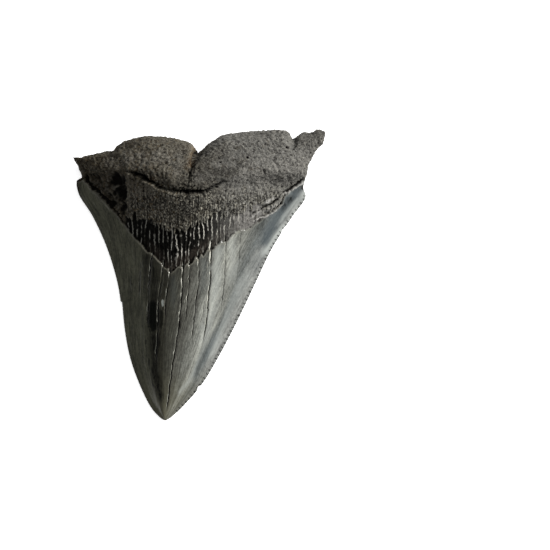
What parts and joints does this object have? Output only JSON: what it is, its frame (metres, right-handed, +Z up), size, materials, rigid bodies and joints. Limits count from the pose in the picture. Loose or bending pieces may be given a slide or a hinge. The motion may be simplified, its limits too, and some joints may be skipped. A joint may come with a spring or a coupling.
{
  "type": "fossil megalodon tooth",
  "caption": "Large triangular fossil shark tooth with serrated cutting edges, a bulging two-lobed root and a domed inner face; it lies on its flat outer face as a display specimen.",
  "frame": {"origin": "centre of the tooth's bounding box, on the surface that the tooth lies on", "axes": "+X across the blade, +Y from the tip to the root, +Z up out of the domed inner face"},
  "size_m": [0.105, 0.122, 0.028],
  "materials": {
    "mineralised_tooth": "glossy grey enamel blade with light streaks and cracks; rough dark brown-grey root"
  },
  "bodies": {
    "root": {"tooth": "mineralised_tooth"}
  },
  "joints": []
}
